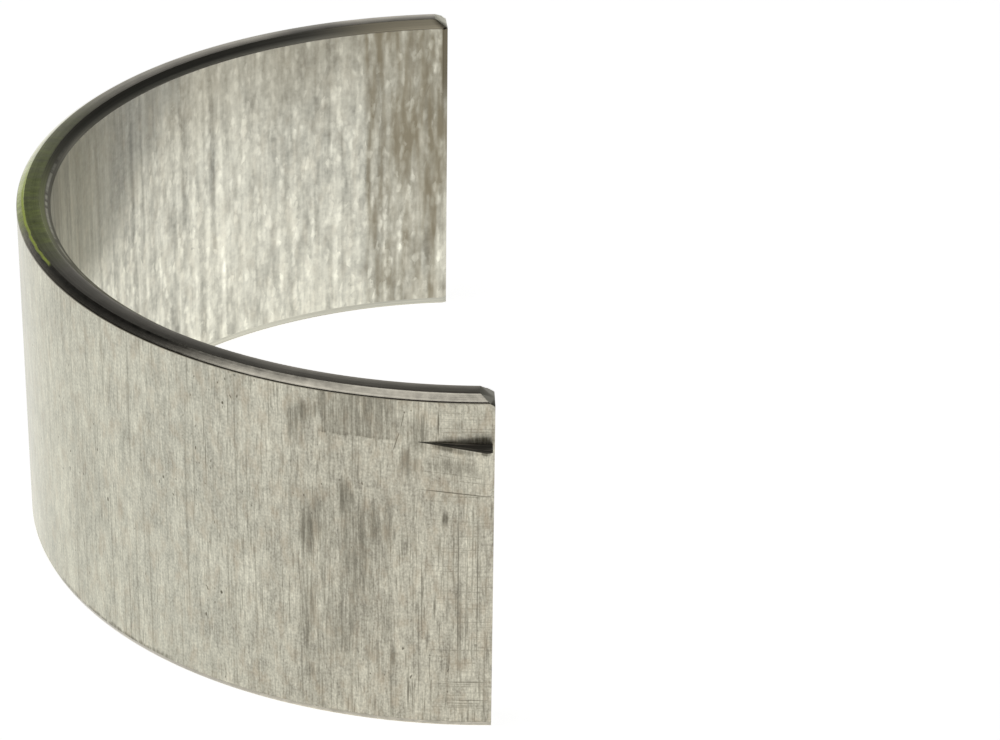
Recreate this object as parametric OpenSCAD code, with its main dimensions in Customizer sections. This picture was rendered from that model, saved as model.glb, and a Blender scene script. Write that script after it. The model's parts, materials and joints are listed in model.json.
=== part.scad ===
// Half shell of a plain engine bearing, drawn free of its housing.
// A lined steel strip is bent to a little under half a circle round the Z axis. Its crown points
// to -X, its joint faces lie towards -Y and +Y, and Z = 0 is the middle of its width.

/* [Shell] */
// Diameter of the housing bore that clamps a pair of shells
housing_bore_d = 56.5; // [48:0.5:70]
// How much wider the free shell springs than its housing
free_spread = 1; // [0.2:0.1:2]
// Thickness of the strip
wall = 2.1; // [1.7:0.05:3]
// Width along the journal
width = 21.6; // [16:0.2:30]

/* [Edge chamfers] */
// Reach across the edge face of the chamfer towards the back
back_chamfer_radial = 0.49; // [0.1:0.01:0.7]
// Reach along the back of that chamfer
back_chamfer_axial = 0.34; // [0.1:0.01:1]
// Reach across the edge face of the chamfer towards the bore
bore_chamfer_radial = 0.66; // [0.1:0.01:0.9]
// Reach along the bore of that chamfer
bore_chamfer_axial = 0.48; // [0.1:0.01:1]

/* [Joint faces] */
// Reach along the arc of the cut corners on the lug's edge
corner_cut_arc = 0.82; // [0.3:0.02:2]
// Reach along the width of the cut corners
corner_cut_axial = 0.56; // [0.3:0.02:2]
// Chamfer between each joint face and the bore
joint_chamfer = 0.28; // [0.1:0.02:0.6]
// How far the bore's relief runs back from each joint face
relief_length = 5.8; // [3:0.1:12]
// Depth of the relief at the joint face
relief_depth = 0.03; // [0.01:0.005:0.1]

/* [Locating lug] */
// Distance from the upper edge face to the lug's sheared side
lug_edge_gap = 2.93; // [1.5:0.01:6]
// Width of the lug along the journal
lug_width = 3.07; // [2:0.01:6]
// Length of the lug along the back
lug_length = 4.3; // [3:0.05:8]
// Height of the lug above the back at its sheared side
lug_height = 1.25; // [0.8:0.05:2]
// Height of the lug above the back at its other side
lug_low_height = 0.7; // [0.2:0.02:0.8]
// Gap between the lug's end and the joint face
lug_setback = 0.12; // [0.05:0.01:0.5]
// Depth at the sheared side of the press mark behind the lug
recess_depth = 1.1; // [0.9:0.05:1.5]

/* [Hidden] */
$fn = 180;

// The back keeps the length of half the housing bore, so the free shell spans less than 180 degrees
back_r = (housing_bore_d + free_spread) / 2;
bore_r = back_r - wall;
arc = 180 * housing_bore_d / (2 * back_r);
joint_angle = 180 + arc / 2;
half_width = width / 2;

// The relief is cut by a second cylinder, moved to the open side by relief_shift
joint_bore_r = bore_r + relief_depth;
relief_start = arc / 2 - relief_length / bore_r * 180 / PI;
relief_rise = joint_bore_r ^ 2 - bore_r ^ 2;
relief_shift = relief_rise / (2 * (bore_r * cos(relief_start) - joint_bore_r * cos(arc / 2)));
relief_r = sqrt(bore_r ^ 2 + 2 * bore_r * relief_shift * cos(relief_start) + relief_shift ^ 2);

// Lug and press mark fade out at one angle and lie between the same two planes
lug_angle = lug_length / back_r * 180 / PI;
lug_top = half_width - lug_edge_gap;
lug_bottom = lug_top - lug_width;
recess_low_depth = recess_depth - (lug_height - lug_low_height);
// How far the lug is rooted in the wall, half way to the press mark
lug_root = (wall - recess_depth) / 2;
// Share of its length by which a wedge runs on past the point where it fades out
run_on = 0.1;
// Thickness of the slices that a wedge is stretched between
slice = 0.01;
// Distance by which a cutting tool clears the metal
clear = 1;

// Section of the strip, with all four edges chamfered
module strip_section() {
    lower_bore = bore_chamfer_axial - half_width;
    lower_back = back_chamfer_axial - half_width;
    edge_inner = bore_r + bore_chamfer_radial;
    edge_outer = back_r - back_chamfer_radial;
    polygon([
        [bore_r, lower_bore],
        [edge_inner, -half_width],
        [edge_outer, -half_width],
        [back_r, lower_back],
        [back_r, -lower_back],
        [edge_outer, half_width],
        [edge_inner, half_width],
        [bore_r, -lower_bore]
    ]);
}

// Children are drawn with X outwards from the axis and the strip on the -Y side of the joint face
module at_lug_joint() {
    rotate([0, 0, joint_angle])
        children();
}

module at_both_joints() {
    at_lug_joint()
        children();
    mirror([0, 1, 0])
        at_lug_joint()
            children();
}

// Cuts off the joint face's corner on the lug's edge, right through the wall
module corner_cut() {
    translate([bore_r - clear, 0, half_width])
        rotate([90, 0, 90])
            linear_extrude(wall + 2 * clear)
                polygon([
                    [-2 * corner_cut_arc, corner_cut_axial],
                    [corner_cut_arc, -2 * corner_cut_axial],
                    [corner_cut_arc, corner_cut_axial]
                ]);
}

// Breaks the edge between joint face and bore
module joint_edge_cut() {
    translate([joint_bore_r, 0, -half_width - clear])
        linear_extrude(width + 2 * clear)
            polygon([
                [2 * joint_chamfer, joint_chamfer],
                [-joint_chamfer, -2 * joint_chamfer],
                [-joint_chamfer, joint_chamfer]
            ]);
}

// Point on the slope from a height above radius r at the joint face down to r at the lug's far end
function slope_point(r, height, share) =
    [r + height, 0] * (1 - share) + r * [cos(lug_angle), -sin(lug_angle)] * share;

// Share of the slope that lies between the joint face and a line at that distance from it
function slope_share(r, distance) = distance / (r * sin(lug_angle));

// Slice of the wedge that stands between a slope and a root inside the wall
module slope_slice(r, height, root_r, start) {
    polygon([
        slope_point(r, height, slope_share(r, start)),
        slope_point(r, height, 1 + run_on),
        [root_r, -start]
    ]);
}

// Stretches a slice at the sheared side to another at the lower side
module wedge() {
    hull() {
        translate([0, 0, lug_top - slice])
            linear_extrude(slice)
                children(0);
        translate([0, 0, lug_bottom])
            linear_extrude(slice)
                children(1);
    }
}

module lug() {
    wedge() {
        slope_slice(back_r, lug_height, back_r - lug_root, lug_setback);
        slope_slice(back_r, lug_low_height, back_r - lug_root, lug_setback);
    }
}

module press_mark() {
    wedge() {
        slope_slice(bore_r, recess_depth, bore_r - clear, -clear);
        slope_slice(bore_r, recess_low_depth, bore_r - clear, -clear);
    }
}

module bearing_shell() {
    color([0.68, 0.67, 0.61])
        difference() {
            union() {
                rotate([0, 0, 180 - arc / 2])
                    rotate_extrude(angle = arc)
                        strip_section();
                at_lug_joint()
                    lug();
            }
            translate([relief_shift, 0, -half_width - clear])
                cylinder(r = relief_r, h = width + 2 * clear);
            at_both_joints() {
                corner_cut();
                joint_edge_cut();
            }
            at_lug_joint()
                press_mark();
        }
}

bearing_shell();
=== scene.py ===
import json
import math
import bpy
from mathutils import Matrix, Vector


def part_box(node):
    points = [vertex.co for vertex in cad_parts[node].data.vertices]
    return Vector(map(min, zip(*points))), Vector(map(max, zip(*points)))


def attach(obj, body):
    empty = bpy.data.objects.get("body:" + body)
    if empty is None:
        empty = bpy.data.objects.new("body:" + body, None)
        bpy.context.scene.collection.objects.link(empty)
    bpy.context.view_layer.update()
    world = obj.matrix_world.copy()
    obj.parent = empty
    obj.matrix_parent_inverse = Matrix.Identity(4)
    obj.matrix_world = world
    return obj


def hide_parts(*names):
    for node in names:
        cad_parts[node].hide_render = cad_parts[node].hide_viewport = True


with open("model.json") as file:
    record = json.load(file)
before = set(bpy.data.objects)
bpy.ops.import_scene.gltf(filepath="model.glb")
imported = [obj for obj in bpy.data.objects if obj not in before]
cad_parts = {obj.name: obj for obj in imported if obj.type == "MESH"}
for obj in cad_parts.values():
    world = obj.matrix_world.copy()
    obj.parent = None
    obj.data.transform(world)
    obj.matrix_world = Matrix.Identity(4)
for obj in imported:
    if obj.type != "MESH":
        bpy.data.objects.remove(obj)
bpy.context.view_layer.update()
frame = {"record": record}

from types import SimpleNamespace

import bpy
from bpy.props import FloatProperty, FloatVectorProperty, PointerProperty
from mathutils import Matrix, Vector

bl_info = {
    "name": "Half bearing shell",
    "version": (1, 0, 0),
    "blender": (4, 5, 0),
    "location": "3D View > Sidebar > Bearing shell",
    "description": "Builds one half shell of a plain engine bearing and the studio it stands in",
    "category": "Object",
}

MM = 0.001
LOW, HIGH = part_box("bearing_shell")
MOUNTS = {mount["name"]: mount for mount in frame["record"]["mounts"]}
BACK_RADIUS = -MOUNTS["housing_back"]["pos_m"][0] / MM
BORE_RADIUS = MOUNTS["journal_bore"]["dims"]["r_mm"]
JOINT_AXIS = MOUNTS["joint_face_lug"]["axis"]
HALF_ARC = math.pi / 2 + math.atan2(JOINT_AXIS[1], JOINT_AXIS[0])

# Name of the point attribute that holds a place on the flat strip, in millimetres:
# distance along the back from the lug's joint face, height above the mid width, radius
STRIP = "strip"
# Step between the seeds of two noises, in the noises' own space
SEED_STEP = 17.3
# Half size of a mark through the wall, so that it shows at every radius
EVERY_RADIUS = 1e6
# Place along the strip that parts the lug's half from the other
CROWN = 44.0

# Points along a rounded edge of the strip's section
ROUND_STEPS = 3
# Extra rows on the back's upper chamfer, as shares of its width, keep it flat between its edges
CHAMFER_ROWS = (0.2, 0.92)
# How far the lug's end drops, as a share of the length that it is rounded over
LUG_END_DROP = 0.8
# Points that lie closer than this many metres become one
MERGE_DISTANCE = 1e-6
# Edges sharper than this are drawn as edges
SHARP_ANGLE = math.radians(40)

# Rings of the floor sweep: share of its radius, share of its rim's height
SWEEP_RINGS = (
    (0.02, 0.0),
    (0.06, 0.0),
    (0.15, 0.0),
    (0.4, 0.0),
    (0.8, 0.0),
    (0.92, 0.06),
    (0.97, 0.2),
    (1.0, 0.45),
    (1.0, 1.0),
)
SWEEP_SPOKES = 96
# Angle of the rim above the floor behind the shell, its drop in front, in degrees, and how soon it drops
RIM_ANGLE = 42.0
RIM_DROP = 35.0
RIM_HASTE = 1.6
# Glow of the sweep: angle above the floor where it ends, angle below which it is full, strength
SWEEP_GLOW = ((28.0, 14.0, 0.80), (41.0, 26.0, 0.10))
# How much sooner the glow ends towards the sides
SIDE_LIFT = 0.36

# Softbox above the shell, in metres
SOFTBOX_SIZE = (0.61, 0.35)
SOFTBOX_PLACE = (-0.145, -0.045, 0.6)
# Camera place in metres, and its yaw, pitch and roll in radians
CAMERA_PLACE = (-0.0125566, -0.2050656, 0.1041512)
CAMERA_TURN = (0.06789, 0.47829, 0.01443)
SENSOR_WIDTH = 36.0
NEAR_CLIP = 0.01


def size(name, description, millimetres):
    return FloatProperty(
        name=name,
        description=description,
        default=millimetres * MM,
        min=0.0,
        precision=6,
        subtype="DISTANCE",
        unit="LENGTH",
    )


def colour(name, description, value):
    return FloatVectorProperty(
        name=name, description=description, default=value, min=0.0, max=1.0, size=3, subtype="COLOR"
    )


def panel_values(group):
    """The sizes or colours that a group of properties holds"""
    return [prop for prop in group.bl_rna.properties if prop.type == "FLOAT"]


class ShellSizes(bpy.types.PropertyGroup):
    """Sizes of the half shell"""

    back_radius: size("Back radius", "Outer radius of the free shell", BACK_RADIUS)
    bore_radius: size("Bore radius", "Inner radius of the free shell", BORE_RADIUS)
    width: size("Width", "Width along the journal", (HIGH.z - LOW.z) / MM)
    half_arc: FloatProperty(
        name="Half arc",
        description="Angle from the crown to a joint face",
        default=HALF_ARC,
        subtype="ANGLE",
        unit="ROTATION",
    )
    back_chamfer_radial: size(
        "Back chamfer radial", "Reach across the edge face of the back's chamfer", 0.49
    )
    back_chamfer_axial: size("Back chamfer axial", "Reach along the back of its chamfer", 0.34)
    bore_chamfer_radial: size(
        "Bore chamfer radial", "Reach across the edge face of the bore's chamfer", 0.66
    )
    bore_chamfer_axial: size("Bore chamfer axial", "Reach along the bore of its chamfer", 0.48)
    low_back_chamfer: size("Low back chamfer", "Reach of the back's chamfer across the lower edge", 0.15)
    low_bore_chamfer: size("Low bore chamfer", "Reach of the bore's chamfer across the lower edge", 0.1)
    corner_cut_arc: size("Corner cut arc", "Reach along the arc of the cut corners", 0.82)
    corner_cut_axial: size("Corner cut axial", "Reach along the width of the cut corners", 0.56)
    corner_fade: size("Corner fade", "Length along which the strip's columns lean to the cut corner", 4.0)
    joint_chamfer: size("Joint chamfer", "Chamfer between each joint face and the bore", 0.28)
    relief_length: size("Relief length", "How far the bore's relief runs back from a joint face", 5.8)
    relief_depth: size("Relief depth", "Depth of the relief at the joint face", 0.03)
    lug_edge_gap: size("Lug edge gap", "Distance from the upper edge to the lug's sheared side", 2.93)
    lug_width: size("Lug width", "Width of the lug along the journal", 3.07)
    lug_length: size("Lug length", "Length of the lug along the back", 4.3)
    lug_height: size("Lug height", "Height above the back at the sheared side", 1.25)
    lug_low_height: size("Lug low height", "Height above the back at the other side", 0.7)
    lug_setback: size("Lug setback", "Gap between the lug's end and the joint face", 0.12)
    lug_round: size("Lug round", "Length of the rounding at the lug's end", 0.35)
    mark_depth: size("Press mark depth", "Depth of the press mark behind the sheared side", 1.1)
    crease: size("Crease", "Width of the bend at the lug's sides", 0.03)
    back_edge_round: size("Back edge round", "Rounding between the back and the upper chamfer", 0.12)
    edge_round: size("Edge round", "Rounding of the other edges", 0.04)
    column_step: size("Column step", "Spacing of the mesh along the arc", 0.31)
    row_step: size("Row step", "Spacing of the mesh along the width", 0.83)


class ShellFinish(bpy.types.PropertyGroup):
    """Colours of the half shell"""

    steel: colour("Back steel", "Bare rolled steel of the back", (0.482, 0.47, 0.386))
    # Colour of grimy smears; also painted shade under the back's upper chamfer, on the lower edges and by
    # the lug
    grime_and_shade: colour("Grime", "Dirt in the grain of the back", (0.1, 0.088, 0.057))
    rust: colour("Rust", "Faint brown bloom on the back and the lining", (0.42, 0.35, 0.25))
    lining: colour("Lining", "Bright metal of the bore", (0.655, 0.642, 0.548))
    stain: colour("Lining stain", "Brown film on the bore", (0.225, 0.193, 0.128))
    edge: colour("Edge steel", "Turned edge faces", (0.53, 0.497, 0.42))
    bore_edge: colour("Bore edge", "Dull chamfer between the upper edge and the bore", (0.22, 0.212, 0.18))
    sheared: colour("Sheared steel", "Torn steel at the lug's sheared side", (0.05, 0.046, 0.038))
    ink: colour("Ink", "Marker dab on the edge", (0.37, 0.44, 0.12))
    bright_ink: colour("Bright ink", "Thick ink at the rim of the dab", (0.86, 0.98, 0.26))


class StudioSetup(bpy.types.PropertyGroup):
    """Light, floor and camera of the studio"""

    floor: colour("Floor", "Colour of the floor and sweep", (0.8, 0.8, 0.8))
    gloom: colour("Gloom", "Dim room above the sweep", (0.04, 0.04, 0.04))
    lamp_power: FloatProperty(
        name="Lamp power", description="Power of the overhead softbox", default=0.5, unit="POWER"
    )
    sweep_radius: size("Sweep radius", "Distance to the sweep's upturned rim", 1200.0)
    lens: FloatProperty(
        name="Lens", description="Focal length on the camera's sensor", default=130.115, unit="CAMERA"
    )


# Grimy smears on the back, and painted shadow beside the lug's sheared side: distance along the strip,
# height, half length along the width, half width, depth
BACK_SMEARS_AND_SHADOWS = (
    (11.1, 1.6, 3.6, 0.42, 0.80),
    (10.6, 1.3, 3.2, 0.46, 0.80),
    (10.8, -4.0, 5.5, 0.85, 0.66),
    (10.9, 8.9, 1.3, 0.85, 0.80),
    (10.25, 9.1, 0.9, 0.35, 0.60),
    (7.7, 0.6, 6.0, 2.0, 0.68),
    (6.9, 2.2, 3.0, 0.9, 0.72),
    (8.6, -4.6, 4.0, 1.4, 0.55),
    (4.9, 6.5, 1.8, 1.0, 0.60),
    (2.75, 3.0, 0.8, 0.36, 0.90),
    (2.75, 4.4, 0.6, 0.25, 0.45),
    (5.75, -6.2, 1.6, 0.28, 0.75),
    (10.7, -8.1, 1.1, 0.60, 0.60),
    (26.8, 2.3, 2.2, 0.6, 0.42),
    (26.4, -3.0, 1.7, 0.7, 0.42),
    (29.1, -4.4, 1.6, 0.7, 0.32),
    (16.65, -0.5, 2.4, 0.55, 0.28),
    # Painted shadow, with some grime, on the lug and above its sheared side: the next three marks
    (2.3, 6.6, 1.0, 2.3, 0.60),
    (0.7, 8.15, 0.28, 1.1, 0.85),
    (2.6, 8.15, 0.35, 1.5, 0.50),
    (8.7, -1.0, 9.6, 3.6, 0.44),
    (28.2, -0.5, 6.0, 1.7, 0.26),
    (29.6, -2.4, 3.8, 1.5, 0.44),
    (11.6, 8.2, 2.2, 0.75, 0.66),
    (4.3, 8.4, 2.1, 1.2, 0.70),
    # Painted shadow, with some grime, just below the lug's sheared side: the next three marks
    (2.75, 7.80, 0.38, 1.4, 1.10),
    (2.2, 7.7, 0.32, 2.4, 0.72),
    (0.55, 7.78, 0.20, 0.5, 0.95),
    (1.95, 9.05, 0.7, 0.7, 0.50),
    (5.2, 9.6, 0.5, 0.5, 0.50),
    (6.8, -6.5, 2.3, 0.9, 0.48),
    (8.5, 3.8, 2.2, 1.0, 0.82),
    (10.0, 2.2, 3.4, 0.95, 0.58),
    (6.0, 2.4, 3.4, 0.46, 0.62),
    (6.1, -3.5, 3.6, 0.45, 0.52),
)
# Rubbed places on the back, given as the smears are, with a gain in brightness for the depth
BACK_RUBS = (
    (1.35, 0.6, 5.0, 0.60, 0.28),
    (1.45, 3.6, 0.9, 0.45, 0.26),
    (4.45, 8.2, 0.5, 0.45, 0.25),
    (19.0, 4.8, 3.8, 1.6, 0.14),
    (23.6, 8.6, 2.4, 2.4, 0.10),
)
# The same on the lining, where a loss is a dull place
LINING_RUBS = (
    (71.0, -4.0, 3.8, 1.4, 0.24),
    (76.8, -2.0, 4.2, 1.1, 0.12),
    (81.0, 6.3, 1.9, 1.7, 0.18),
    (80.2, 9.2, 1.3, 1.0, -0.16),
    (64.8, -6.6, 2.8, 1.1, -0.20),
    (70.9, 5.3, 3.3, 1.0, -0.15),
    (81.2, -1.5, 3.2, 0.7, -0.12),
    (82.7, -2.9, 1.5, 0.5, 0.20),
    (87.3, -6.6, 2.6, 0.9, -0.24),
)
# Scratches and pits on the back, and a line of painted shade in the crease under the lug: distance along
# the strip, height, half length, half width, turn from the arc in degrees, depth
BACK_SCRATCHES_AND_CREASE = (
    (5.18, 9.15, 0.65, 0.04, 101.0, 0.65),
    (5.53, 7.80, 0.80, 0.04, 107.0, 0.65),
    (1.99, -1.6, 5.9, 0.045, 90.0, 0.66),
    (0.89, -1.4, 6.2, 0.045, 90.0, 0.58),
    (4.06, -2.1, 3.3, 0.045, 90.0, 0.62),
    (0.40, -5.5, 1.7, 0.03, 97.0, 0.40),
    (1.5, -7.78, 1.6, 0.035, 0.0, 0.60),
    (1.5, -9.00, 1.6, 0.035, 0.0, 0.65),
    (1.3, -9.36, 1.2, 0.03, 0.0, 0.40),
    (3.17, 9.1, 1.0, 0.055, 90.0, 0.75),
    (4.0, 8.8, 1.1, 0.09, 92.0, 0.50),
    # Painted shade in the crease along the lug's lower side
    (2.1, 4.86, 2.5, 0.05, 0.0, 0.75),
    (2.85, 6.1, 1.6, 0.03, -2.0, 0.45),
    (4.4, 5.6, 0.6, 0.035, 90.0, 0.45),
    (17.4, 4.2, 2.3, 0.035, 90.0, 0.65),
    (17.5, 6.8, 2.1, 0.03, 90.0, 0.55),
    (15.77, 7.85, 1.25, 0.035, 90.0, 0.60),
    (13.1, 8.6, 2.2, 0.035, 90.0, 0.50),
    (25.84, -1.62, 0.18, 0.10, 90.0, 0.90),
    (26.76, 1.34, 0.12, 0.07, 90.0, 0.80),
    (16.12, 8.24, 0.12, 0.08, 90.0, 0.90),
    (16.52, -4.35, 0.14, 0.10, 90.0, 0.90),
    (17.68, -6.21, 0.16, 0.07, 90.0, 0.80),
    (20.67, 1.96, 0.12, 0.08, 90.0, 0.80),
)


class Field:
    """A number in a node tree. Arithmetic on it adds Math nodes to that tree."""

    def __init__(self, tree, socket):
        self.tree = tree
        self.socket = socket

    def math(self, operation, *others):
        node = self.tree.nodes.new("ShaderNodeMath")
        node.operation = operation
        for slot, value in zip(node.inputs, (self,) + others):
            feed(self.tree, slot, value)
        return Field(self.tree, node.outputs[0])

    def __add__(self, other):
        return self.math("ADD", other)

    def __sub__(self, other):
        return self.math("SUBTRACT", other)

    def __rsub__(self, other):
        return self.math("MULTIPLY_ADD", -1.0, other)

    def __mul__(self, other):
        return self.math("MULTIPLY", other)

    def __truediv__(self, other):
        return self.math("DIVIDE", other)

    def __neg__(self):
        return self.math("MULTIPLY", -1.0)

    __radd__ = __add__

    def at_least(self, limit):
        return self.math("MAXIMUM", limit)

    def at_most(self, limit):
        return self.math("MINIMUM", limit)

    def over(self, limit):
        return self.math("GREATER_THAN", limit)

    def under(self, limit):
        return self.math("LESS_THAN", limit)

    def fade(self, start, end):
        """0 at start and 1 at end"""
        node = add(
            self.tree,
            "ShaderNodeMapRange",
            {"Value": self, "From Min": start, "From Max": end},
            interpolation_type="SMOOTHSTEP",
        )
        return Field(self.tree, node.outputs[0])

    def band(self, start, full, waning, end):
        """0 at start, 1 from full to waning, and 0 again at end"""
        return self.fade(start, full) * self.fade(end, waning)

    def swing(self, amount):
        """How far a noise departs from its middle value, times an amount"""
        return (self - 0.5) * amount


def feed(tree, slot, value):
    if isinstance(value, Field):
        tree.links.new(value.socket, slot)
    elif isinstance(value, bpy.types.NodeSocket):
        tree.links.new(value, slot)
    else:
        slot.default_value = value


def add(tree, kind, feeds=None, **settings):
    node = tree.nodes.new(kind)
    for name, value in settings.items():
        setattr(node, name, value)
    for name, value in (feeds or {}).items():
        feed(tree, node.inputs[name], value)
    return node


def split(tree, vector):
    node = add(tree, "ShaderNodeSeparateXYZ", {"Vector": vector})
    return tuple(Field(tree, out) for out in node.outputs)


def join(tree, x, y, z):
    return add(tree, "ShaderNodeCombineXYZ", {"X": x, "Y": y, "Z": z}).outputs[0]


def pick(tree, index, values):
    """The value out of a list that belongs to each point's number"""
    node = add(tree, "GeometryNodeIndexSwitch", data_type="FLOAT")
    while len(node.index_switch_items) < len(values):
        node.index_switch_items.new()
    feed(tree, node.inputs[0], index)
    for slot, value in zip(list(node.inputs)[1:], values):
        feed(tree, slot, value)
    return Field(tree, node.outputs[0])


def outline(tree, points, step, rounds=None):
    """Draws a line through points (x, y) in the tree, closed and rounded where rounds are given"""
    index = Field(tree, add(tree, "GeometryNodeInputIndex").outputs[0])
    x = pick(tree, index, [point[0] for point in points])
    y = pick(tree, index, [point[1] for point in points])
    dots = add(tree, "GeometryNodePoints", {"Count": len(points), "Position": join(tree, x, y, 0.0)})
    line = add(tree, "GeometryNodePointsToCurves", {"Points": dots.outputs[0]}).outputs[0]
    if rounds:
        line = add(tree, "GeometryNodeSetSplineCyclic", {"Geometry": line, "Cyclic": True}).outputs[0]
        fillet = add(tree, "GeometryNodeFilletCurve", {"Curve": line}, mode="POLY")
        feed(tree, fillet.inputs["Radius"], pick(tree, index, rounds))
        feed(tree, fillet.inputs["Count"], ROUND_STEPS)
        line = fillet.outputs[0]
    here = add(tree, "GeometryNodeInputPosition").outputs[0]
    following = index + 1
    there = add(tree, "GeometryNodeFieldAtIndex", data_type="FLOAT_VECTOR")
    feed(tree, there.inputs["Index"], following)
    feed(tree, there.inputs["Value"], here)
    gap = add(tree, "ShaderNodeVectorMath", operation="DISTANCE")
    feed(tree, gap.inputs[0], here)
    feed(tree, gap.inputs[1], there.outputs[0])
    counter = add(tree, "GeometryNodeAttributeDomainSize", {"Geometry": line}, component="CURVE")
    count = Field(tree, counter.outputs[0])
    cuts = (Field(tree, gap.outputs["Value"]) / step).math("FLOOR") * following.under(count)
    return add(tree, "GeometryNodeSubdivideCurve", {"Curve": line, "Cuts": cuts}).outputs[0]


def size_inputs(tree):
    """Adds a named input for each size, and hands back their values and what follows from them"""
    for prop in panel_values(ShellSizes):
        tree.interface.new_socket(prop.name, in_out="INPUT", socket_type="NodeSocketFloat")
    taken = tree.nodes.new("NodeGroupInput")
    s = SimpleNamespace()
    for prop, socket in zip(panel_values(ShellSizes), list(taken.outputs)[1:]):
        setattr(s, prop.identifier, Field(tree, socket))
    s.half_width = s.width / 2
    s.length = s.half_arc * s.back_radius * 2
    s.lug_top = s.half_width - s.lug_edge_gap
    s.lug_bottom = s.lug_top - s.lug_width
    s.fold = s.half_width - s.corner_cut_axial
    s.edge_inner = s.bore_radius + s.bore_chamfer_radial
    s.low_inner = s.bore_radius + s.low_bore_chamfer
    s.half_crease = s.crease / 2
    # Slack for comparing places, well under any step of the mesh
    s.hair = s.edge_round / 20
    return s


def strip_section(tree, s):
    """Outline of the strip's section: up the back, over the upper edge, down the bore, round the foot"""
    edge_outer = s.back_radius - s.back_chamfer_radial
    low_outer = s.back_radius - s.low_back_chamfer
    back_end = s.half_width - s.back_chamfer_axial
    bore_end = s.half_width - s.bore_chamfer_axial
    wall_rows = [
        -s.fold,
        s.lug_bottom - s.half_crease,
        s.lug_bottom + s.half_crease,
        s.lug_top - s.half_crease,
        s.lug_top + s.half_crease,
        s.fold,
    ]
    corners = [(s.back_radius, -back_end, s.edge_round)]
    corners += [(s.back_radius, row, 0.0) for row in wall_rows]
    corners += [(s.back_radius, back_end, s.back_edge_round)]
    for share in CHAMFER_ROWS:
        inward = s.back_radius - s.back_chamfer_radial * share
        upward = back_end + s.back_chamfer_axial * share
        corners += [(inward, upward, 0.0)]
    corners += [
        (edge_outer, s.half_width, s.edge_round),
        (s.edge_inner, s.half_width, s.edge_round),
        (s.bore_radius, bore_end, s.edge_round),
    ]
    corners += [(s.bore_radius, row, 0.0) for row in reversed(wall_rows)]
    corners += [
        (s.bore_radius, -bore_end, s.edge_round),
        (s.low_inner, -s.half_width, s.edge_round),
        (low_outer, -s.half_width, s.edge_round),
    ]
    points = [corner[:2] for corner in corners]
    rounds = [corner[2] for corner in corners]
    return outline(tree, points, s.row_step, rounds)


def flat_strip(tree, s):
    """Mesh of the flat strip, with each point's place on it kept as an attribute"""
    columns = [
        -s.edge_round,
        0.0,
        s.edge_round,
        s.lug_setback - s.half_crease,
        s.lug_setback + s.half_crease,
        s.lug_setback + s.lug_round / 3,
        s.joint_chamfer,
        s.lug_setback + s.lug_round,
        s.lug_length,
        s.length - s.relief_length,
        s.length - s.joint_chamfer,
        s.length - s.edge_round,
        s.length,
        s.length + s.edge_round,
    ]
    path = outline(tree, [(0.0, column) for column in columns], s.column_step)
    section = strip_section(tree, s)
    strip = add(tree, "GeometryNodeCurveToMesh", {"Curve": path, "Profile Curve": section}).outputs[0]
    across, along, down = split(tree, add(tree, "GeometryNodeInputPosition").outputs[0])
    store = add(tree, "GeometryNodeStoreNamedAttribute", data_type="FLOAT_VECTOR", domain="POINT")
    feed(tree, store.inputs["Geometry"], strip)
    feed(tree, store.inputs["Name"], STRIP)
    feed(tree, store.inputs["Value"], join(tree, along / MM, down / -MM, across / MM))
    return store.outputs[0]


def bent_place(tree, s, at):
    """Where each point of the flat strip goes when the lug is pressed and the strip is bent"""
    run = at.along.at_least(0.0).at_most(s.length)
    left = s.length - run
    nearest = run.at_most(left)

    up_lug = ((at.height - s.lug_bottom) / s.lug_width).at_least(0.0).at_most(1.0)
    in_lug = at.height.over(s.lug_bottom) * at.height.under(s.lug_top)
    to_tip = (s.lug_length - run).at_least(0.0)
    slope = to_tip / s.lug_length
    sag = run * to_tip / (s.back_radius * 2)
    end_drop = (1.0 - (run - s.lug_setback) / s.lug_round).at_least(0.0).at_most(1.0)
    lug_rise = (s.lug_low_height + (s.lug_height - s.lug_low_height) * up_lug) * slope - sag
    lug_rise = (lug_rise - end_drop * end_drop * s.lug_round * LUG_END_DROP).at_least(0.0)
    lug_rise = lug_rise * in_lug * run.over(s.lug_setback)
    mark_low = s.mark_depth - (s.lug_height - s.lug_low_height)
    mark = ((mark_low + (s.mark_depth - mark_low) * up_lug) * slope - sag).at_least(0.0) * in_lug

    joint_cut = (s.joint_chamfer - nearest).at_least(0.0)
    relief = s.relief_depth * (1.0 - nearest / s.relief_length).at_least(0.0)
    thinned = relief * ((s.edge_inner - at.radius) / s.bore_chamfer_radial).at_least(0.0)
    bore_limit = s.bore_radius + (relief + joint_cut).at_least(mark * at.bore)
    back_break = (s.edge_round - nearest).at_least(0.0)
    wall_r = (at.radius + thinned + at.back * (lug_rise - back_break)).at_least(bore_limit)

    mid_r = (s.back_radius + s.bore_radius + mark * run.under(s.lug_length)) / 2
    mid_h = at.height.at_least(-s.fold).at_most(s.fold)
    final_r = wall_r + at.cap * (mid_r - wall_r)
    final_h = at.height + at.cap * (mid_h - at.height)
    lean = (final_h - s.fold).at_least(0.0) * s.corner_cut_arc / s.corner_cut_axial
    lean = lean * ((1.0 - run / s.corner_fade).at_least(0.0) - (1.0 - left / s.corner_fade).at_least(0.0))
    angle = (run - s.length / 2) / s.back_radius + lean / final_r
    return join(tree, -(final_r * angle.math("COSINE")), final_r * angle.math("SINE"), final_h)


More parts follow.
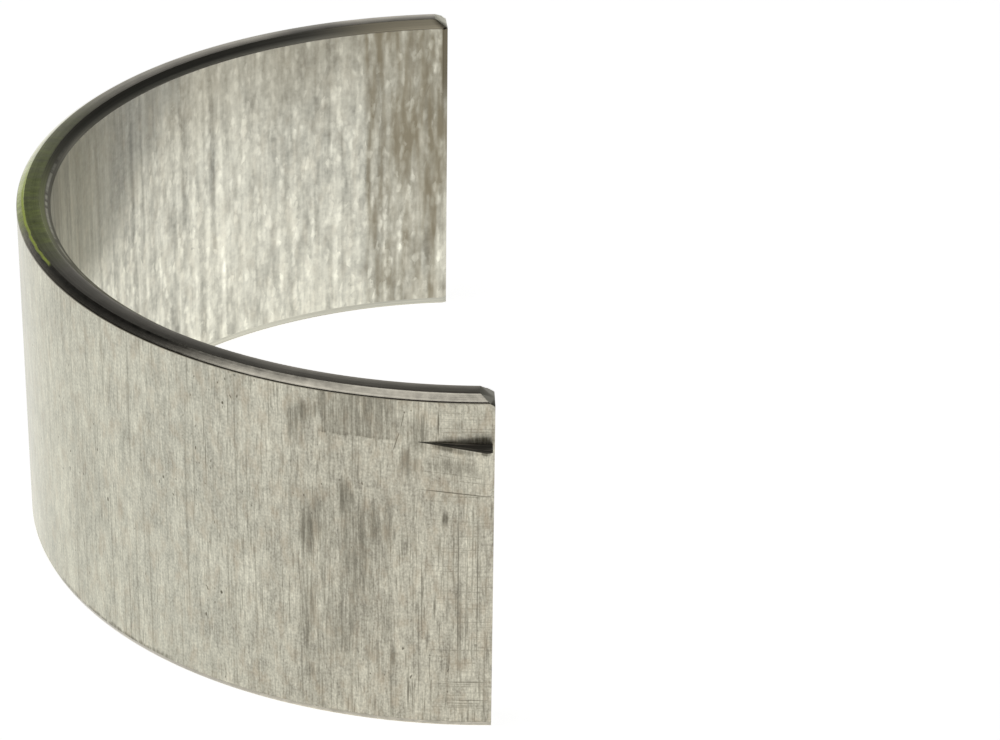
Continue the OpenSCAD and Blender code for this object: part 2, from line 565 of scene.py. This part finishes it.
def finish_areas(s, at, finishes):
    """Which finish goes where, each one over those before it"""
    on_lug = at.along.over(s.lug_setback) * at.along.under(s.lug_length)
    lug_side = (at.height - s.lug_top).math("ABSOLUTE").under(s.crease)
    mark_side = lug_side + (at.height - s.lug_bottom).math("ABSOLUTE").under(s.crease)
    return (
        (finishes["edge"], True),
        (finishes["bore_edge"], at.radius.under(s.edge_inner - s.hair) * at.height.over(0.0)),
        (finishes["bore_edge"], at.radius.under(s.low_inner - s.hair) * at.height.under(0.0)),
        (finishes["back"], at.back),
        (finishes["bore"], at.bore),
        (finishes["joint"], at.cap),
        (finishes["sheared"], at.back * lug_side * on_lug),
        (finishes["sheared"], at.bore * mark_side * at.along.under(s.lug_length)),
    )


def shell_tree(finishes):
    """Node tree that cuts a chamfered strip, presses the lug and bends the strip to the arc"""
    tree = bpy.data.node_groups.new("half_shell", "GeometryNodeTree")
    tree.interface.new_socket("Geometry", in_out="INPUT", socket_type="NodeSocketGeometry")
    s = size_inputs(tree)
    tree.interface.new_socket("Geometry", in_out="OUTPUT", socket_type="NodeSocketGeometry")
    mesh = flat_strip(tree, s)
    place = add(tree, "GeometryNodeInputNamedAttribute", {"Name": STRIP}, data_type="FLOAT_VECTOR")
    along, height, radius = (part * MM for part in split(tree, place.outputs[0]))
    at = SimpleNamespace(
        along=along,
        height=height,
        radius=radius,
        cap=along.under(-s.hair) + along.over(s.length + s.hair),
        back=radius.over(s.back_radius - s.hair),
        bore=radius.under(s.bore_radius + s.hair),
    )
    bent = bent_place(tree, s, at)
    mesh = add(tree, "GeometryNodeSetPosition", {"Geometry": mesh, "Position": bent}).outputs[0]
    merge = {"Geometry": mesh, "Distance": MERGE_DISTANCE}
    mesh = add(tree, "GeometryNodeMergeByDistance", merge).outputs[0]
    mesh = add(tree, "GeometryNodeRealizeInstances", {"Geometry": mesh}).outputs[0]
    for material, area in finish_areas(s, at, finishes):
        paint = {"Geometry": mesh, "Material": material, "Selection": area}
        mesh = add(tree, "GeometryNodeSetMaterial", paint).outputs[0]
    given = tree.nodes.new("NodeGroupOutput")
    feed(tree, given.inputs[0], mesh)
    return tree


class Finish:
    """A metal finish whose patterns follow the strip, with along, height and radius in millimetres.
    The crown is about 44 along, the far joint 88.7, and the edges are at heights of 10.8 and -10.8."""

    def __init__(self, name):
        self.material = bpy.data.materials.new(name)
        self.material.use_nodes = True
        self.tree = self.material.node_tree
        self.tree.nodes.clear()
        source = add(self.tree, "ShaderNodeAttribute", attribute_type="GEOMETRY", attribute_name=STRIP)
        self.place = source.outputs["Vector"]
        self.along, self.height, self.radius = split(self.tree, self.place)

    def noise(self, across, along, seed, detail=2.0, rough=0.5, radial=0.0):
        """Noise with so many features per millimetre across the grain, along it and through the wall"""
        depth = self.radius * radial + seed * SEED_STEP
        place = join(self.tree, self.along * across, self.height * along, depth)
        sockets = {"Vector": place, "Scale": 1.0, "Detail": detail, "Roughness": rough}
        node = add(self.tree, "ShaderNodeTexNoise", sockets)
        return Field(self.tree, node.outputs[0])

    def cells(self, across, along, seed, sway):
        """Distance from the middle of scattered cells, and a number of each cell's own"""
        place = join(self.tree, self.along * across + sway, self.height * along + sway, seed * SEED_STEP)
        sockets = {"Vector": place, "Scale": 1.0}
        node = add(self.tree, "ShaderNodeTexVoronoi", sockets, voronoi_dimensions="3D")
        return Field(self.tree, node.outputs["Distance"]), Field(self.tree, node.outputs["Color"])

    def mark(self, along, height, half_long, half_wide, turn=90.0, soft=0.3):
        """Soft spot or scratch on the strip, turned from the arc's direction in degrees"""
        node = add(self.tree, "ShaderNodeMapping", {"Vector": self.place}, vector_type="TEXTURE")
        node.inputs["Location"].default_value = (along, height, 0.0)
        node.inputs["Rotation"].default_value = (0.0, 0.0, math.radians(turn))
        node.inputs["Scale"].default_value = (half_long, half_wide, EVERY_RADIUS)
        sockets = {"Vector": node.outputs[0]}
        ball = add(self.tree, "ShaderNodeTexGradient", sockets, gradient_type="SPHERICAL")
        return Field(self.tree, ball.outputs["Fac"]).fade(0.0, 1.0 - soft)

    def rub(self, level, places):
        """Level with the gain of rubbed places added"""
        for along, height, half_long, half_wide, gain in places:
            level = level + self.mark(along, height, half_long, half_wide) * gain
        return level

    def blend(self, first, second, amount):
        """First colour with so much of the second"""
        node = add(self.tree, "ShaderNodeMix", data_type="RGBA")
        feed(self.tree, node.inputs[0], amount)
        for slot, value in ((node.inputs[6], first), (node.inputs[7], second)):
            feed(self.tree, slot, value if isinstance(value, bpy.types.NodeSocket) else (*value, 1.0))
        return node.outputs[2]

    def shade(self, tone, amount):
        """Colour times a number"""
        node = add(self.tree, "ShaderNodeVectorMath", operation="SCALE")
        feed(self.tree, node.inputs[0], tone if isinstance(tone, bpy.types.NodeSocket) else tuple(tone))
        feed(self.tree, node.inputs["Scale"], amount)
        return node.outputs[0]

    def close(self, tone, rough, height=None, relief=0.0, **sockets):
        """Ends the finish as metal, with a bump of that relief in metres and other sockets set as given"""
        shader = add(self.tree, "ShaderNodeBsdfPrincipled", {"Metallic": 1.0})
        feed(self.tree, shader.inputs["Base Color"], tone)
        feed(self.tree, shader.inputs["Roughness"], rough)
        for name, value in sockets.items():
            shader.inputs[name.replace("_", " ").title()].default_value = value
        if height is not None:
            bump = add(self.tree, "ShaderNodeBump", {"Distance": relief, "Strength": 1.0})
            feed(self.tree, bump.inputs["Height"], height)
            feed(self.tree, shader.inputs["Normal"], bump.outputs[0])
        out = self.tree.nodes.new("ShaderNodeOutputMaterial")
        feed(self.tree, out.inputs["Surface"], shader.outputs[0])
        return self.material


def back_hairs(f, rubbed, streak):
    """Dark hairlines: short and long ones in the grain, and cross ones near the lug"""
    short = f.noise(9.0, 0.45, 9, detail=1.0).fade(0.54, 0.74)
    short = short * (0.22 + rubbed * 0.2 + streak.fade(0.5, 0.7) * 0.3)
    long = f.noise(5.0, 0.07, 2, detail=1.0).fade(0.60, 0.73) * (0.28 + rubbed * 0.1)
    round_lug = f.along.fade(7.0, 4.0) * f.height.fade(3.0, 5.0)
    on_lug = f.height.band(4.6, 5.0, 7.8, 8.0)
    cross = f.noise(0.22, 9.0, 10, detail=1.0).fade(0.56, 0.70)
    cross = cross * f.along.fade(5.0, 2.0) * (0.34 + on_lug * 0.2)
    return (short.at_least(long) * (1.0 - round_lug * 0.5)).at_least(cross)


def back_smears_and_shadows(f):
    """Grimy smudges and painted shadow by the lug, a patch under the upper edge and darker bands at the
    foot, worn along the grain
    """
    worn = f.noise(5.6, 0.22, 11, detail=4.0, rough=0.85).fade(0.36, 0.62)
    ragged = f.noise(1.1, 0.9, 12, detail=3.0)
    under_edge = f.height + ragged.swing(0.35)
    beside = f.along + ragged.swing(0.9)
    patch = under_edge.fade(7.74, 7.90) * beside.band(5.2, 5.8, 9.9, 10.4)
    patch = patch * (0.62 + under_edge.fade(8.2, 7.85) * 0.12)
    foot = (f.height - ragged.swing(0.8)).fade(-10.1, -10.4) * f.along.band(18.0, 22.0, 30.0, 36.0)
    seam = (f.height + ragged.swing(0.12)).fade(-10.40, -10.46) * f.along.fade(40.0, 20.0)
    cover = patch.at_least(foot * 0.8).at_least(seam * 0.65)
    for along, height, half_long, half_wide, depth in BACK_SMEARS_AND_SHADOWS:
        cover = cover.at_least(f.mark(along, height, half_long, half_wide, soft=0.2) * depth)
    smears_and_shadows = cover * 1.3 + (worn - 1.0) * cover.fade(0.0, 0.3) * 0.65
    return (smears_and_shadows.at_least(0.0) * 0.75).at_most(0.8)


def back_steel(colours):
    """Rolled steel with fine grain across the strip, grimy smudges, hairlines, pits, scratch marks, and
    painted shadow by the lug and in its crease
    """
    f = Finish("back_steel")
    rubbed = f.along.fade(22.0, 4.0)
    grain = f.noise(9.0, 1.2, 1, detail=3.0, rough=0.6)
    streak = f.noise(1.3, 0.16, 4, detail=3.0)
    level = 1.06 + grain.swing(1.1 + rubbed * 0.5) + streak.swing(0.68 + rubbed * 0.08)
    level = level + f.noise(8.0, 6.0, 3).swing(0.9 + rubbed * 0.4)
    level = level + f.noise(0.3, 0.24, 5, detail=3.0).swing(0.6)
    level = level + f.noise(1.7, 1.0, 13, detail=4.0, rough=0.6).swing(0.5 + rubbed * 0.5)
    clean = f.shade(colours.steel, f.rub(level, BACK_RUBS))
    bloom = f.noise(1.4, 0.7, 6, detail=4.0, rough=0.6).fade(0.45, 0.75) * 0.45 + rubbed * 0.21
    clean = f.blend(clean, colours.rust, bloom)

    pits = f.noise(4.6, 2.2, 7, detail=1.0).fade(0.70, 0.77) * f.noise(0.25, 0.2, 8).fade(0.40, 0.60)
    scratches_and_crease = pits * 0.8
    for along, height, half_long, half_wide, turn, depth in BACK_SCRATCHES_AND_CREASE:
        scratch = f.mark(along, height, half_long, half_wide, turn, soft=0.6)
        scratches_and_crease = scratches_and_crease.at_least(scratch * depth)
    # Painted shadow by the lug and in its crease goes in with the grime, pits, scratches and hairlines
    soiling_and_shade = back_smears_and_shadows(f).at_least(scratches_and_crease).at_least(back_hairs(f, rubbed, streak))
    tone = f.blend(clean, colours.grime_and_shade, soiling_and_shade)
    rough = 0.33 + grain.swing(0.25) + soiling_and_shade * 0.15
    tint = (1.0, 1.0, 0.92, 1.0)
    return f.close(
        tone, rough, grain - pits, 4e-6, coat_weight=0.5, coat_roughness=0.2, specular_tint=tint
    )


def lining_metal(colours):
    """Bright lining with dashes and drops in columns, brown films near the edge and the joints, painted
    shade high in the bore and painted light low in it
    """
    f = Finish("lining_metal")
    column = f.noise(1.3, 0.03, 21, rough=0.6)
    sway = f.noise(2.4, 1.6, 27) * 1.1
    long_middle, long_tone = f.cells(1.5, 0.26, 22, sway)
    round_middle, round_tone = f.cells(2.6, 1.1, 23, sway)
    dash = long_tone.fade(0.30, 0.75) * long_middle.fade(0.85, 0.15)
    drop = round_tone.fade(0.30, 0.80) * round_middle.fade(0.80, 0.10)
    mottle = f.noise(1.9, 0.7, 28)
    cloud = f.noise(0.45, 0.2, 24)
    fine = f.noise(3.2, 3.6, 25)

    # Painted shade: a dim field in the upper half, which ends in a slanted line beyond the crown
    up = f.height + mottle.swing(4.0)
    dim = up.fade(-1.2, 2.2) * (up - f.along).fade(-59.4, -55.0) * f.along.fade(26.0, 44.0)
    spots = (dash - 0.3) * 0.26 + (drop - 0.3) * 0.34 + mottle.swing(0.8)
    # Painted light: the lining lighter towards its foot, which faces the bright floor
    level = 1.0 + f.height.fade(2.0, -8.0) * 0.07 + spots * (1.0 - dim * 0.6)
    level = level + column.swing(1.2) + fine.swing(0.4) + cloud.swing(0.5)
    level = f.rub(level, LINING_RUBS)
    clean = f.shade(colours.lining, level * (1.0 - dim * (0.37 + f.height.fade(2.0, 11.0) * 0.12)))
    warm = f.noise(1.6, 0.6, 29, detail=3.0).fade(0.45, 0.75) * 0.16
    clean = f.blend(clean, colours.rust, warm)

    # Brown film: towards the upper edge, where it is also painted shade, on the relief beside each joint,
    # and at the far joint's end
    joint = f.along.fade(82.3, 82.7).at_least(f.along.fade(6.4, 6.0))
    ribs = f.noise(1.7, 0.2, 26, detail=1.5).fade(0.36, 0.70)
    film_and_shade = f.height.fade(1.0, 11.0) * (0.46 - joint * 0.36) * (1.0 - dim * 0.8)
    film_and_shade = film_and_shade + joint * (0.18 + ribs * 0.40 + f.height.fade(-9.0, 4.0) * 0.18)
    film_and_shade = film_and_shade + f.along.fade(86.6, 88.4) * f.height.fade(7.5, 3.0) * 0.3
    film_and_shade = film_and_shade - f.along.fade(87.8, 88.3) * f.height.fade(0.0, -6.0) * 0.5
    film_and_shade = (film_and_shade + cloud.swing(0.5) - spots * joint * 0.5).at_least(0.0).at_most(0.9)
    last = f.along.fade(88.22, 88.40) * f.height.fade(2.0, 7.0)
    tone = f.shade(f.blend(clean, colours.stain, film_and_shade.at_least(last)), 1.0 - last * 0.35)
    rough = 0.36 + dash.swing(0.1)
    return f.close(tone, rough, dash + drop * 0.7 + fine * 0.2, 6e-6)


def edge_steel(colours):
    """Turned edge faces and back chamfers, with the ink dab on the upper edge, painted highlights and
    painted shade
    """
    f = Finish("edge_steel")
    turned = f.noise(0.06, 8.0, 31, detail=3.0, rough=0.6, radial=8.0)
    patch = f.noise(0.9, 1.5, 32, detail=3.0, radial=1.5)
    wear = f.noise(2.2, 3.0, 34, detail=3.0, rough=0.6, radial=3.0)
    upper = f.height.over(0.0)
    chamfer = f.radius.fade(28.24, 28.28)
    shaded = f.radius.fade(28.60, 28.28) * f.along.fade(6.0, 12.0) * 0.6
    # Painted highlight: a thin bright line along the outer corner of the upper chamfer
    painted_highlight_line = f.radius.band(28.58, 28.62, 28.67, 28.70) * upper
    level = 1.0 + turned.swing(0.7 + chamfer * 0.6) + patch.swing(0.5)
    level = level + chamfer * (wear.swing(0.9) + 0.12 - shaded) + painted_highlight_line * 0.35
    # Painted highlight: the outer chamfers lighter from before the crown to the far joint
    painted_highlight = chamfer * f.along.fade(34.0, 48.0) * 0.5
    # An oil film on the flat edge faces; the last term is painted shade, a dark band on them before the far
    # joint
    oil_and_shade = f.along.band(12.0, 18.0, 54.0, 62.0) * 0.36
    oil_and_shade = oil_and_shade * (1.0 - chamfer * (0.4 + f.along.over(41.0) * 0.6))
    oil_and_shade = oil_and_shade + f.along.band(74.4, 78.0, 80.0, 82.2) * 0.45 * (1.0 - chamfer)
    clean = f.shade(colours.edge, level * (1.0 + painted_highlight - oil_and_shade))
    # Painted shade: lower edge faces darker in patches, most on the back's lower chamfer, which faces the
    # floor's contact shadow
    foot = f.radius.fade(28.58, 28.70) * 0.26 + (patch - 0.45) * 0.8
    clean = f.blend(clean, colours.grime_and_shade, foot.at_least(0.04).at_most(0.7) * f.height.under(0.0))

    # The ink dab, its thick bright rim, and a dark line of painted shade where the chamfer meets the back
    brushed = f.noise(1.6, 0.5, 33, detail=3.0, radial=0.5)
    dab = f.along.band(31.0, 39.0, 41.0, 64.0) * upper * f.radius.fade(26.9, 27.5)
    dab = dab * (0.85 + brushed.swing(0.7)).at_most(1.0) * (1.0 - chamfer * f.along.fade(41.0, 36.0))
    strokes = f.noise(1.9, 0.5, 36, detail=4.0, rough=0.65, radial=1.2)
    ink = f.shade(colours.ink, 0.92 + strokes.swing(1.5) + turned.swing(0.5))
    tone = f.blend(clean, ink, dab)
    wavy = f.radius + f.noise(1.1, 0.0, 35).swing(0.16)
    bead = wavy.band(28.25, 28.31, 28.38, 28.47) * upper
    bead = bead * f.along.band(32.8, 33.4, 41.0, 50.0) * (0.6 + brushed * 0.8).at_most(1.0)
    tone = f.blend(tone, colours.bright_ink, bead)
    # Painted shade: the dark line where the upper chamfer meets the back
    tone = f.blend(tone, colours.grime_and_shade, f.radius.fade(28.69, 28.72) * upper * (0.45 + brushed * 0.6))
    rough = 0.17 + turned.swing(0.12) + chamfer * 0.06 + bead * 0.4
    return f.close(tone, rough, turned, 1.5e-6)


def bore_edge_metal(colours):
    """Dull chamfer along the bore's upper edge, scraped bright in a thin line, and a clean lower one"""
    f = Finish("bore_edge_metal")
    turned = f.noise(0.08, 9.0, 61, detail=3.0, rough=0.6, radial=9.0)
    level = 1.0 + turned.swing(0.9)
    scraped = f.radius.band(26.80, 26.88, 26.94, 27.02) * f.along.band(26.0, 36.0, 44.0, 54.0)
    scraped = scraped * f.noise(1.4, 0.0, 62, detail=3.0).fade(0.36, 0.56)
    browned = f.along.fade(77.5, 84.0)
    inked = f.radius.fade(26.95, 27.1) * f.along.band(34.0, 39.0, 44.0, 52.0)
    dim = f.blend(colours.bore_edge, colours.stain, browned * 0.6)
    dim = f.blend(dim, colours.ink, inked * 0.3)
    lit = 1.0 + browned * 1.1 + f.along.band(24.0, 32.0, 44.0, 50.0) * 0.25
    lit = lit + f.radius.fade(27.0, 26.68) * f.along.fade(46.0, 54.0) * (1.0 - browned * 0.6) * 2.3
    dim = f.blend(f.shade(dim, level * lit), colours.lining, scraped)
    bright = f.shade(colours.lining, level * (0.82 + f.along.fade(80.0, 72.0) * 0.16))
    tone = f.blend(bright, dim, f.height.over(0.0))
    rough = 0.42 + turned.swing(0.2)
    return f.close(tone, rough, turned, 2e-6, specular_tint=(0.6, 0.6, 0.56, 1.0))


def sheared_steel(colours):
    """Torn side of the lug, dark with light drag lines and a light rim"""
    f = Finish("sheared_steel")
    drag = f.noise(0.3, 170.0, 41).fade(0.48, 0.64)
    rim = f.height.fade(7.862, 7.857)
    tone = f.shade(colours.sheared, 2.0 + drag * 12.0 + rim * 3.0)
    return f.close(tone, 0.5, metallic=0.0)


def joint_steel(colours):
    """Broached joint faces, with a dirty cut corner at the lug and a bright one at the other end"""
    f = Finish("joint_steel")
    broached = f.noise(0.3, 0.5, 51, detail=3.0, radial=7.0)
    corner = f.height.fade(10.2, 10.3)
    tone = f.shade(colours.steel, 0.8 + broached * 0.5 + corner * f.along.over(CROWN) * 0.6)
    tone = f.blend(tone, colours.grime_and_shade, corner * f.along.under(CROWN) * 0.55)
    return f.close(tone, 0.35 + broached * 0.15, broached, 3e-6)


class BEARING_OT_half_shell(bpy.types.Operator):
    """Builds the half shell with its lug, chamfers and finishes"""

    bl_idname = "bearing.half_shell"
    bl_label = "Half shell"

    def execute(self, context):
        sizes = context.scene.shell_sizes
        colours = context.scene.shell_finish
        finishes = {
            "back": back_steel(colours),
            "bore": lining_metal(colours),
            "edge": edge_steel(colours),
            "bore_edge": bore_edge_metal(colours),
            "sheared": sheared_steel(colours),
            "joint": joint_steel(colours),
        }
        tree = shell_tree(finishes)
        shell = bpy.data.objects.new("half_shell", bpy.data.meshes.new("half_shell"))
        context.collection.objects.link(shell)
        maker = shell.modifiers.new("half_shell", "NODES")
        maker.node_group = tree
        labels = {prop.name: prop.identifier for prop in panel_values(ShellSizes)}
        for socket in tree.interface.items_tree:
            if socket.in_out == "INPUT" and socket.name in labels:
                maker[socket.identifier] = getattr(sizes, labels[socket.name])
        made = bpy.data.meshes.new_from_object(shell.evaluated_get(context.evaluated_depsgraph_get()))
        shell.modifiers.clear()
        shell.data = made
        if not made.polygons:
            raise RuntimeError("the half shell has no faces")
        made.polygons.foreach_set("use_smooth", [True] * len(made.polygons))
        made.set_sharp_from_angle(angle=SHARP_ANGLE)
        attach(shell, "root")
        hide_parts("bearing_shell")
        return {"FINISHED"}


def steepness(degrees):
    """Rise for each metre along the floor"""
    return math.tan(math.radians(degrees))


def sweep_material(studio):
    """White to the eye and in reflections, with a faint shadow, and plain paint to all other light"""
    material = bpy.data.materials.new("sweep_paper")
    material.use_nodes = True
    tree = material.node_tree
    tree.nodes.clear()
    paint = add(tree, "ShaderNodeBsdfDiffuse", {"Color": (*studio.floor, 1.0)}).outputs[0]
    x, y, z = split(tree, add(tree, "ShaderNodeTexCoord").outputs["Object"])
    reach = (x * x + y * y).math("SQRT")
    lift = (z + x.math("ABSOLUTE") * SIDE_LIFT) / reach
    strength = sum(lift.fade(steepness(end), steepness(full)) * share for end, full, share in SWEEP_GLOW)
    glow = add(tree, "ShaderNodeEmission", {"Strength": strength}).outputs[0]
    both = tree.nodes.new("ShaderNodeAddShader")
    feed(tree, both.inputs[0], paint)
    feed(tree, both.inputs[1], glow)
    light = tree.nodes.new("ShaderNodeLightPath")
    seen = Field(tree, light.outputs["Is Camera Ray"])
    for kind in ("Is Glossy Ray", "Is Transmission Ray"):
        seen = seen + Field(tree, light.outputs[kind])
    mix = tree.nodes.new("ShaderNodeMixShader")
    feed(tree, mix.inputs[0], seen.at_most(1.0))
    feed(tree, mix.inputs[1], paint)
    feed(tree, mix.inputs[2], both.outputs[0])
    out = tree.nodes.new("ShaderNodeOutputMaterial")
    feed(tree, out.inputs["Surface"], mix.outputs[0])
    material.cycles.emission_sampling = "NONE"
    return material


def sweep_mesh(radius, foot):
    """Round floor with a rim that rises behind and beside the shell and stays low in front"""
    points = [(0.0, 0.0, foot)]
    faces = []
    for ring, (reach, rise) in enumerate(SWEEP_RINGS):
        for spoke in range(SWEEP_SPOKES):
            turn = 2 * math.pi * spoke / SWEEP_SPOKES
            front = max(0.0, -math.cos(turn))
            top = steepness(RIM_ANGLE - RIM_DROP * min(1.0, front * RIM_HASTE))
            x = reach * radius * math.sin(turn)
            y = reach * radius * math.cos(turn)
            points.append((x, y, foot + rise * radius * top))
            here = 1 + ring * SWEEP_SPOKES + spoke
            there = 1 + ring * SWEEP_SPOKES + (spoke + 1) % SWEEP_SPOKES
            if ring == 0:
                faces.append((there, here, 0))
            else:
                faces.append((there - SWEEP_SPOKES, there, here, here - SWEEP_SPOKES))
    mesh = bpy.data.meshes.new("sweep")
    mesh.from_pydata(points, [], faces)
    mesh.polygons.foreach_set("use_smooth", [True] * len(mesh.polygons))
    return mesh


class BEARING_OT_studio(bpy.types.Operator):
    """Sets up the pale floor, the soft light and the camera"""

    bl_idname = "bearing.studio"
    bl_label = "Studio"

    def execute(self, context):
        scene = context.scene
        studio = scene.bearing_studio
        sweep = bpy.data.objects.new("sweep", sweep_mesh(studio.sweep_radius, LOW.z))
        sweep.data.materials.append(sweep_material(studio))
        scene.collection.objects.link(sweep)

        world = bpy.data.worlds.new("studio_room")
        scene.world = world
        world.use_nodes = True
        world.node_tree.nodes["Background"].inputs["Color"].default_value = (*studio.gloom, 1.0)

        box = bpy.data.lights.new("softbox", "AREA")
        box.shape = "RECTANGLE"
        box.size, box.size_y = SOFTBOX_SIZE
        box.energy = studio.lamp_power
        lamp = bpy.data.objects.new("softbox", box)
        lamp.location = SOFTBOX_PLACE
        scene.collection.objects.link(lamp)

        yaw, pitch, roll = CAMERA_TURN
        right = Vector((math.cos(yaw), -math.sin(yaw), 0.0))
        level = Vector((math.sin(yaw), math.cos(yaw), 0.0))
        ahead = level * math.cos(pitch) - Vector((0.0, 0.0, math.sin(pitch)))
        up = right.cross(ahead)
        side = right * math.cos(roll) + up * math.sin(roll)
        top = up * math.cos(roll) - right * math.sin(roll)
        lens = bpy.data.cameras.new("camera")
        lens.lens = studio.lens
        lens.sensor_width = SENSOR_WIDTH
        lens.sensor_fit = "HORIZONTAL"
        lens.clip_start = NEAR_CLIP
        camera = bpy.data.objects.new("camera", lens)
        turned = Matrix((side, top, -ahead)).transposed()
        camera.matrix_world = Matrix.Translation(CAMERA_PLACE) @ turned.to_4x4()
        scene.collection.objects.link(camera)
        scene.camera = camera
        scene.view_settings.view_transform = "Standard"
        return {"FINISHED"}


class BEARING_PT_panel(bpy.types.Panel):
    """Sizes, colours and makers of the half shell"""

    bl_idname = "BEARING_PT_panel"
    bl_label = "Bearing shell"
    bl_space_type = "VIEW_3D"
    bl_region_type = "UI"
    bl_category = "Bearing shell"

    def draw(self, context):
        for group in (context.scene.shell_sizes, context.scene.shell_finish, context.scene.bearing_studio):
            column = self.layout.column()
            for prop in panel_values(group):
                column.prop(group, prop.identifier)
        self.layout.operator(BEARING_OT_half_shell.bl_idname)
        self.layout.operator(BEARING_OT_studio.bl_idname)


CLASSES = (ShellSizes, ShellFinish, StudioSetup, BEARING_OT_half_shell, BEARING_OT_studio, BEARING_PT_panel)


def register():
    for entry in CLASSES:
        bpy.utils.register_class(entry)
    bpy.types.Scene.shell_sizes = PointerProperty(type=ShellSizes)
    bpy.types.Scene.shell_finish = PointerProperty(type=ShellFinish)
    bpy.types.Scene.bearing_studio = PointerProperty(type=StudioSetup)


def unregister():
    del bpy.types.Scene.shell_sizes
    del bpy.types.Scene.shell_finish
    del bpy.types.Scene.bearing_studio
    for entry in reversed(CLASSES):
        bpy.utils.unregister_class(entry)


def main():
    register()
    bpy.ops.bearing.half_shell()
    bpy.ops.bearing.studio()


if __name__ == "__main__":
    main()
